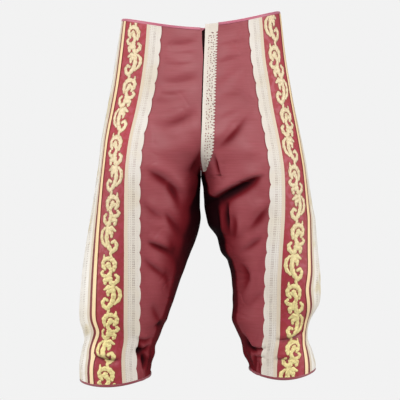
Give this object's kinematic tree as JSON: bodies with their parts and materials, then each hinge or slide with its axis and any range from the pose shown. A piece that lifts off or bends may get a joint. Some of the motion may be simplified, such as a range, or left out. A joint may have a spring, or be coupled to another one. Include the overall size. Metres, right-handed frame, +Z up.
{
  "type": "toreador pants",
  "caption": "Knee-length satin breeches with lace, brocade bands and braid down the outside of each leg, filled out as worn, with a front fly slit and bound waist and leg openings.",
  "frame": {"origin": "the middle of the waist opening, at the mean height of its edge, where the wearer's waist holds the garment", "axes": "+Z up, from the leg openings to the waist; -Y to the wearer's front; +X to the wearer's left"},
  "size_m": [0.4822, 0.2413, 0.7438],
  "materials": {
    "satin": "changeable satin",
    "lace": "cotton lace",
    "brocade": "brocade",
    "gold_braid": "woven metallic thread",
    "underlap": "satin in shade",
    "waist_binding": "satin",
    "hem_binding": "satin"
  },
  "bodies": {
    "root": {"front_right": "satin", "front_left": "satin", "back_right": "satin", "back_left": "satin", "front_lace_right": "lace", "front_lace_left": "lace", "side_lace_right": "lace", "side_lace_left": "lace", "fly_lace": "lace", "band_right": "brocade", "band_left": "brocade", "braid_right": "gold_braid", "braid_left": "gold_braid", "fly_underlap": "underlap", "waist_binding": "waist_binding", "hem_binding_right": "hem_binding", "hem_binding_left": "hem_binding"}
  },
  "joints": []
}
